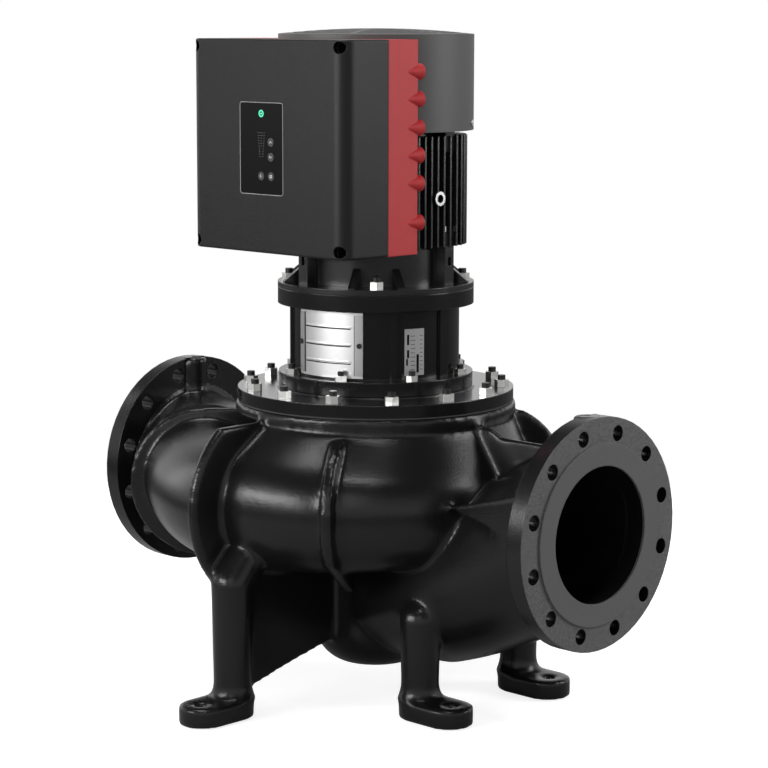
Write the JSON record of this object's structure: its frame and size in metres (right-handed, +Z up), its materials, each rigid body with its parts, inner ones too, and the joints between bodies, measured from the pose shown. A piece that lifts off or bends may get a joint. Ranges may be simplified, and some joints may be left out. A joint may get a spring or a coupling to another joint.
{
  "type": "in-line circulation pump",
  "caption": "In-line centrifugal pump with flanged ports on one axis, spiral casing on feet, stool, finned motor with fan cowl, and a flat drive box on its side.",
  "frame": {"origin": "centre of the inlet flange's sealing face", "axes": "+X out of the inlet along the pipe, +Z up along the shaft, -Y towards the drive box"},
  "size_m": [0.9, 0.6568, 1.007],
  "materials": {
    "cast_black": "glossy paint over a rough casting",
    "zinc": "zinc plated",
    "dark_steel": "black oxide",
    "bright_steel": "ground",
    "stainless_sheet": "bright rolled sheet",
    "gasket": "matt",
    "bronze": "turned",
    "cast_grey": "bare casting",
    "carbon": "lapped",
    "motor_black": "black paint",
    "laminations": "oiled",
    "copper": "varnished",
    "fan_plastic": "moulded",
    "cowl_grey": "satin grey paint",
    "box_charcoal": "textured charcoal paint",
    "box_red": "textured red paint",
    "panel_black": "gloss",
    "button_grey": "satin",
    "light_green": "lit ring",
    "board_green": "lacquered"
  },
  "bodies": {
    "pump": {"pump_housing": "cast_black", "neck_ring": "bronze", "pump_cover": "cast_black", "cover_gasket": "gasket", "cover_studs": "dark_steel", "cover_nuts": "zinc", "vent_body": "bright_steel", "tapping_plugs": "dark_steel", "seal_seat": "carbon", "motor_stool": "cast_black", "stool_studs": "dark_steel", "stool_nuts": "zinc", "coupling_guard_front": "stainless_sheet", "coupling_guard_back": "stainless_sheet", "guard_screws": "zinc", "lower_end_shield": "motor_black", "motor_studs": "dark_steel", "motor_nuts": "zinc", "motor_frame": "motor_black", "shield_screws": "zinc", "stator_core": "laminations", "stator_winding": "copper", "bearing_outer_rings": "bright_steel", "wave_spring": "zinc", "upper_end_shield": "motor_black", "fan_cover": "cowl_grey", "fan_cover_screws": "zinc", "control_box_base": "box_red", "control_box_cover": "box_charcoal", "pad_screws": "zinc", "cover_screws": "dark_steel", "circuit_board": "board_green", "board_screws": "zinc", "blanking_plugs": "fan_plastic", "operating_panel": "panel_black", "status_light": "light_green"},
    "rotor": {"motor_shaft": "bright_steel", "rotor_core": "laminations", "cooling_fan": "fan_plastic", "bearing_inner_rings": "bright_steel", "coupling_halves": "bright_steel", "coupling_screws": "zinc", "pump_shaft": "bright_steel", "impeller": "cast_grey", "impeller_key": "bright_steel", "impeller_nut": "bright_steel", "seal_ring": "carbon", "seal_bellows": "gasket", "seal_collar": "bright_steel"},
    "vent_needle": {"vent_screw": "bright_steel"},
    "button_up": {"button_up": "button_grey"},
    "button_down": {"button_down": "button_grey"},
    "button_back": {"button_back": "button_grey"},
    "button_enter": {"button_enter": "button_grey"}
  },
  "joints": [
    {"name": "shaft_spin", "type": "hinge", "parent": "pump", "child": "rotor", "pos_m": [-0.45, 0, 0], "axis": [0, 0, 1], "continuous": true},
    {"name": "vent_turn", "type": "hinge", "parent": "pump", "child": "vent_needle", "pos_m": [-0.55992, 0.13099, 0.18], "axis": [0, 0, 1], "range_deg": [0, 180]},
    {"name": "button_up_press", "type": "slide", "parent": "pump", "child": "button_up", "axis": [0, 1, 0], "range_m": [0, 0.001], "stiffness_N_per_m": 1500, "springref_m": -0.0005},
    {"name": "button_down_press", "type": "slide", "parent": "pump", "child": "button_down", "axis": [0, 1, 0], "range_m": [0, 0.001], "stiffness_N_per_m": 1500, "springref_m": -0.0005},
    {"name": "button_back_press", "type": "slide", "parent": "pump", "child": "button_back", "axis": [0, 1, 0], "range_m": [0, 0.001], "stiffness_N_per_m": 1500, "springref_m": -0.0005},
    {"name": "button_enter_press", "type": "slide", "parent": "pump", "child": "button_enter", "axis": [0, 1, 0], "range_m": [0, 0.001], "stiffness_N_per_m": 1500, "springref_m": -0.0005}
  ]
}
